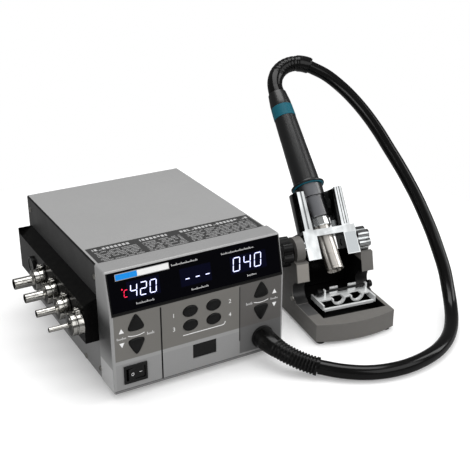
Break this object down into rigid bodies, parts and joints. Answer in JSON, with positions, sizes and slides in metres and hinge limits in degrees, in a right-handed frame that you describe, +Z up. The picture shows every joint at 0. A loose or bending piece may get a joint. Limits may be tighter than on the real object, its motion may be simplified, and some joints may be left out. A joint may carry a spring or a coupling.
{
  "type": "hot-air rework station",
  "caption": "Bench rework console with sloped display, push buttons, nozzle rack and ribbed hose to a hot-air gun held in a stand with a tilting cradle.",
  "frame": {"origin": "Centre of the footprint of the console, stand and gun, on the bench top.", "axes": "+Z is up, -Y is the side the console's front panel faces, +X is to the right seen from the front."},
  "size_m": [0.4704, 0.3489, 0.255],
  "materials": {
    "cover_paint": "satin grey powder coat",
    "tray_zinc": "plain zinc-plated sheet",
    "black_sheet": "satin black powder coat",
    "bezel_grey": "fine-textured grey",
    "display_glass": "glossy black window",
    "digit_black": "matt black",
    "board_green": "solder-masked circuit board",
    "button_black": "satin black",
    "gloss_black": "semi-gloss black",
    "hose_rubber": "smooth black",
    "foot_rubber": "matt black",
    "peg_steel": "turned",
    "nozzle_steel": "polished and brushed",
    "screw_steel": "nickel plated",
    "winding": "copper winding and steel core",
    "bare_aluminium": "extruded",
    "rotor_white": "moulded",
    "stand_paint": "satin grey paint",
    "chrome": "bright chrome",
    "gun_plastic": "satin black",
    "teal_plastic": "satin teal",
    "barrel_steel": "polished stainless",
    "ceramic": "heater ceramic"
  },
  "bodies": {
    "station": {"chassis_tray": "tray_zinc", "rear_panel": "black_sheet", "case_cover": "cover_paint", "front_bezel": "bezel_grey", "display_window": "display_glass", "display_board": "board_green", "digit_modules": "digit_black", "key_board": "board_green", "switch_frame": "gloss_black", "port_cover": "gloss_black", "hose_socket": "button_black", "console_boot": "hose_rubber", "hose_lower": "hose_rubber", "nozzle_rack": "black_sheet", "nozzle_seats": "peg_steel", "main_board": "board_green", "board_standoffs": "screw_steel", "transformer": "winding", "heat_sink": "bare_aluminium", "blower_housing": "gun_plastic", "blower_motor": "bare_aluminium", "air_duct": "foot_rubber", "mains_inlet": "gloss_black", "case_feet": "foot_rubber", "case_screws": "screw_steel", "stand_base": "stand_paint", "stand_bottom": "black_sheet", "stand_feet": "foot_rubber", "stand_bolts": "screw_steel", "stand_shield": "black_sheet", "tip_rack": "chrome", "tip_rack_rod": "button_black", "tilt_bearing": "chrome"},
    "temp_up": {"temp_up_button": "button_black"},
    "temp_down": {"temp_down_button": "button_black"},
    "air_up": {"air_up_button": "button_black"},
    "air_down": {"air_down_button": "button_black"},
    "channel_1": {"channel_1_button": "button_black"},
    "channel_2": {"channel_2_button": "button_black"},
    "channel_3": {"channel_3_button": "button_black"},
    "channel_4": {"channel_4_button": "button_black"},
    "rocker": {"switch_rocker": "gloss_black"},
    "rotor": {"blower_rotor": "rotor_white"},
    "nozzle_10mm": {"nozzle_10mm": "nozzle_steel"},
    "nozzle_8mm": {"nozzle_8mm": "nozzle_steel"},
    "nozzle_6mm": {"nozzle_6mm": "nozzle_steel"},
    "nozzle_3mm": {"nozzle_3mm": "nozzle_steel"},
    "knob": {"star_knob": "button_black"},
    "cradle": {"cradle": "chrome", "tilt_stubs": "chrome"},
    "gun": {"gun_handle": "gun_plastic", "gun_nose": "gun_plastic", "gun_bands": "teal_plastic", "gun_collar": "gun_plastic", "gun_boot": "hose_rubber", "barrel_nut": "chrome", "gun_barrel": "barrel_steel", "heater_core": "ceramic", "hose_upper": "hose_rubber"}
  },
  "joints": [
    {"name": "temp_up_press", "type": "slide", "parent": "station", "child": "temp_up", "axis": [0, 1, 0], "range_m": [0, 0.001], "stiffness_N_per_m": 1500, "springref_m": -0.0007},
    {"name": "temp_down_press", "type": "slide", "parent": "station", "child": "temp_down", "axis": [0, 1, 0], "range_m": [0, 0.001], "stiffness_N_per_m": 1500, "springref_m": -0.0007},
    {"name": "air_up_press", "type": "slide", "parent": "station", "child": "air_up", "axis": [0, 1, 0], "range_m": [0, 0.001], "stiffness_N_per_m": 1500, "springref_m": -0.0007},
    {"name": "air_down_press", "type": "slide", "parent": "station", "child": "air_down", "axis": [0, 1, 0], "range_m": [0, 0.001], "stiffness_N_per_m": 1500, "springref_m": -0.0007},
    {"name": "channel_1_press", "type": "slide", "parent": "station", "child": "channel_1", "axis": [0, 1, 0], "range_m": [0, 0.001], "stiffness_N_per_m": 1500, "springref_m": -0.0007},
    {"name": "channel_2_press", "type": "slide", "parent": "station", "child": "channel_2", "axis": [0, 1, 0], "range_m": [0, 0.001], "stiffness_N_per_m": 1500, "springref_m": -0.0007},
    {"name": "channel_3_press", "type": "slide", "parent": "station", "child": "channel_3", "axis": [0, 1, 0], "range_m": [0, 0.001], "stiffness_N_per_m": 1500, "springref_m": -0.0007},
    {"name": "channel_4_press", "type": "slide", "parent": "station", "child": "channel_4", "axis": [0, 1, 0], "range_m": [0, 0.001], "stiffness_N_per_m": 1500, "springref_m": -0.0007},
    {"name": "rocker_switch", "type": "hinge", "parent": "station", "child": "rocker", "pos_m": [-0.1356, -0.1049, 0.0254], "axis": [0, 0, -1], "range_deg": [0, 16]},
    {"name": "rotor_spin", "type": "hinge", "parent": "station", "child": "rotor", "pos_m": [-0.0104, 0.0029, 0.02], "axis": [0, 0, 1], "continuous": true},
    {"name": "nozzle_10mm_pull", "type": "slide", "parent": "station", "child": "nozzle_10mm", "axis": [-1, 0, 0], "range_m": [0, 0.04]},
    {"name": "nozzle_8mm_pull", "type": "slide", "parent": "station", "child": "nozzle_8mm", "axis": [-1, 0, 0], "range_m": [0, 0.04]},
    {"name": "nozzle_6mm_pull", "type": "slide", "parent": "station", "child": "nozzle_6mm", "axis": [-1, 0, 0], "range_m": [0, 0.04]},
    {"name": "nozzle_3mm_pull", "type": "slide", "parent": "station", "child": "nozzle_3mm", "axis": [-1, 0, 0], "range_m": [0, 0.04]},
    {"name": "cradle_tilt", "type": "hinge", "parent": "station", "child": "cradle", "pos_m": [0.12583, -0.0539, 0.081], "axis": [0.9914, -0.1305, 0], "range_deg": [-20, 35], "deforming": ["hose_lower", "hose_upper"]},
    {"name": "knob_turn", "type": "hinge", "parent": "station", "child": "knob", "pos_m": [0.07378, -0.04705, 0.081], "axis": [0.9914, -0.1305, 0], "continuous": true},
    {"name": "gun_lift", "type": "slide", "parent": "cradle", "child": "gun", "axis": [0.0934, 0.7096, 0.6984], "range_m": [0, 0.1], "deforming": ["hose_upper"]}
  ]
}
